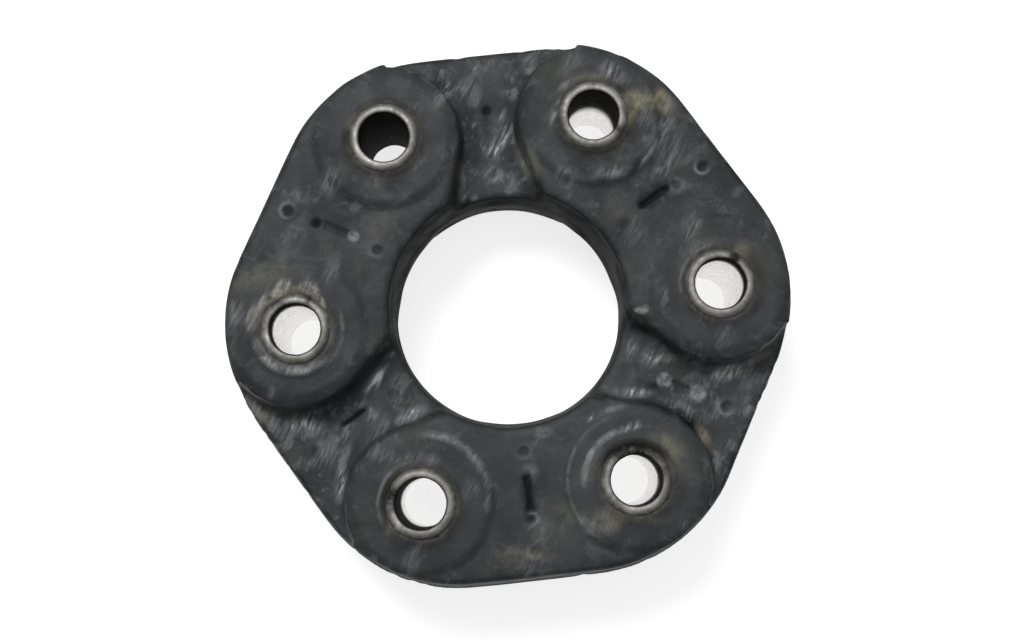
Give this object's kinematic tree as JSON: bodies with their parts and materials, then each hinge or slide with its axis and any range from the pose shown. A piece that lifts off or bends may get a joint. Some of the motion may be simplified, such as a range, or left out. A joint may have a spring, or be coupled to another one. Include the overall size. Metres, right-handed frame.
{
  "type": "flexible disc coupling",
  "caption": "Hexagonal rubber shaft coupling with steel bolt sleeves round a large centre hole, its spans raised and recessed by turns.",
  "frame": {"origin": "middle of the disc, on its axis and on the mould's parting line", "axes": "+Z along the disc's axis out of the front face, +X through the axis of sleeve 1"},
  "size_m": [0.1442, 0.136, 0.036],
  "materials": {
    "rubber": "worn matte black moulded rubber with pale scuffs and brown dirt",
    "steel": "worn bright steel with traces of rust and rubber",
    "cord": "wound polyester cord soaked in bonding rubber"
  },
  "bodies": {
    "root": {"rubber_body": "rubber", "sleeve_1": "steel", "separator_ring_1": "steel", "front_collar_1": "steel", "rear_collar_1": "steel", "cord_loop_1": "cord", "sleeve_2": "steel", "separator_ring_2": "steel", "front_collar_2": "steel", "rear_collar_2": "steel", "cord_loop_2": "cord", "sleeve_3": "steel", "separator_ring_3": "steel", "front_collar_3": "steel", "rear_collar_3": "steel", "cord_loop_3": "cord", "sleeve_4": "steel", "separator_ring_4": "steel", "front_collar_4": "steel", "rear_collar_4": "steel", "cord_loop_4": "cord", "sleeve_5": "steel", "separator_ring_5": "steel", "front_collar_5": "steel", "rear_collar_5": "steel", "cord_loop_5": "cord", "sleeve_6": "steel", "separator_ring_6": "steel", "front_collar_6": "steel", "rear_collar_6": "steel", "cord_loop_6": "cord"}
  },
  "joints": []
}
